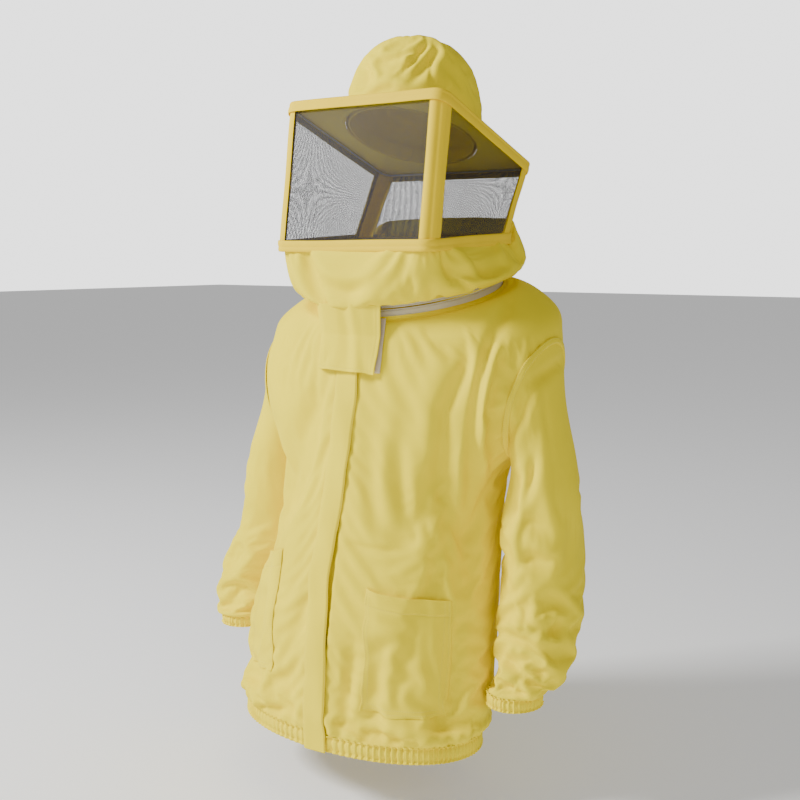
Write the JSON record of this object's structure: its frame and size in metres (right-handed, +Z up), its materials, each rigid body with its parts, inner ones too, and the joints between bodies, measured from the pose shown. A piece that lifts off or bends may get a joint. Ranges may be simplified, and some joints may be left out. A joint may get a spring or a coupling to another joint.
{
  "type": "beekeeping jacket",
  "caption": "Hooded protective jacket with a square wire-framed veil that zips to the neck, front zip under a placket, neck flap, patch pockets, elastic hem and cuffs.",
  "frame": {"origin": "centre of the neck zip's ring, between the wearer's shoulders", "axes": "+Z up, the wearer faces -Y, the wearer's left is +X"},
  "size_m": [0.671, 0.3657, 1.05],
  "materials": {
    "cotton": "matt woven poly-cotton",
    "binding": "matt folded binding tape",
    "veil_mesh": "fine black see-through net",
    "zip_tape": "woven zip tape with nylon coil",
    "zip_metal": "nickel plated",
    "spring_wire": "bare spring wire",
    "elastic": "woven elastic",
    "hook_and_loop": "napped hook-and-loop tape"
  },
  "bodies": {
    "jacket": {"front_panel_left": "cotton", "front_panel_right": "cotton", "back_panel": "cotton", "left_sleeve_head": "cotton", "right_sleeve_head": "cotton", "hem_casing": "cotton", "hem_elastic": "elastic", "front_zip_tape_left": "zip_tape", "front_zip_tape_right": "zip_tape", "front_zip_coil_left": "zip_tape", "front_zip_coil_right": "zip_tape", "placket": "cotton", "neck_zip_tape_lower": "zip_tape", "neck_zip_coil_lower": "zip_tape", "loop_patch": "hook_and_loop", "pocket_left": "cotton", "pocket_right": "cotton"},
    "hood": {"brim_binding": "binding", "lower_binding": "binding", "brim_wire": "spring_wire", "lower_wire": "spring_wire", "brim": "cotton", "corner_strip_back_left": "binding", "corner_strip_back_right": "binding", "corner_strip_front_right": "binding", "corner_strip_front_left": "binding", "mesh_back": "veil_mesh", "mesh_right": "veil_mesh", "mesh_front": "veil_mesh", "mesh_left": "veil_mesh", "crown_gore_back_left": "cotton", "crown_gore_back_right": "cotton", "crown_gore_front_right": "cotton", "crown_gore_front_left": "cotton", "sweatband": "cotton", "neck_skirt": "cotton", "neck_zip_tape_upper": "zip_tape", "neck_zip_coil_upper": "zip_tape"},
    "left_sleeve": {"left_sleeve": "cotton", "left_cuff_casing": "cotton", "left_cuff_elastic": "elastic"},
    "right_sleeve": {"right_sleeve": "cotton", "right_cuff_casing": "cotton", "right_cuff_elastic": "elastic"},
    "flap": {"neck_flap": "cotton", "hook_patch": "hook_and_loop"},
    "front_slider": {"front_slider": "zip_metal"},
    "front_pull": {"front_pull": "zip_metal"},
    "neck_slider": {"neck_slider": "zip_metal"},
    "neck_pull": {"neck_pull": "zip_metal"}
  },
  "joints": [
    {"name": "hood_fold_back", "type": "hinge", "parent": "jacket", "child": "hood", "pos_m": [0, 0.13629, 0.03632], "axis": [-1, 0, 0], "range_deg": [0, 130], "deforming": ["neck_skirt"]},
    {"name": "left_sleeve_raise", "type": "hinge", "parent": "jacket", "child": "left_sleeve", "pos_m": [0.225, 0, -0.11], "axis": [0, -1, 0], "range_deg": [0, 60], "deforming": ["left_sleeve_head"]},
    {"name": "right_sleeve_raise", "type": "hinge", "parent": "jacket", "child": "right_sleeve", "pos_m": [-0.225, 0, -0.11], "axis": [0, 1, 0], "range_deg": [0, 60], "deforming": ["right_sleeve_head"]},
    {"name": "front_zip_slide", "type": "slide", "parent": "jacket", "child": "front_slider", "axis": [-0.0438, -0.1087, -0.9931], "range_m": [0, 0.585]},
    {"name": "front_pull_swing", "type": "hinge", "parent": "front_slider", "child": "front_pull", "pos_m": [-0.0036, -0.14247, -0.06934], "axis": [-0.999, 0.0048, 0.0436], "range_deg": [0, 5]},
    {"name": "neck_zip_travel", "type": "hinge", "parent": "jacket", "child": "neck_slider", "pos_m": [0, 0, 0], "axis": [0, -0.2334, 0.9724], "range_deg": [0, 330]},
    {"name": "neck_pull_swing", "type": "hinge", "parent": "neck_slider", "child": "neck_pull", "pos_m": [0.01233, -0.13908, -0.02979], "axis": [0, -0.2334, 0.9724], "range_deg": [0, 30]},
    {"name": "flap_open", "type": "hinge", "parent": "jacket", "child": "flap", "pos_m": [-0.066, -0.1445, -0.09], "axis": [0, 0, -1], "range_deg": [0, 95]}
  ]
}
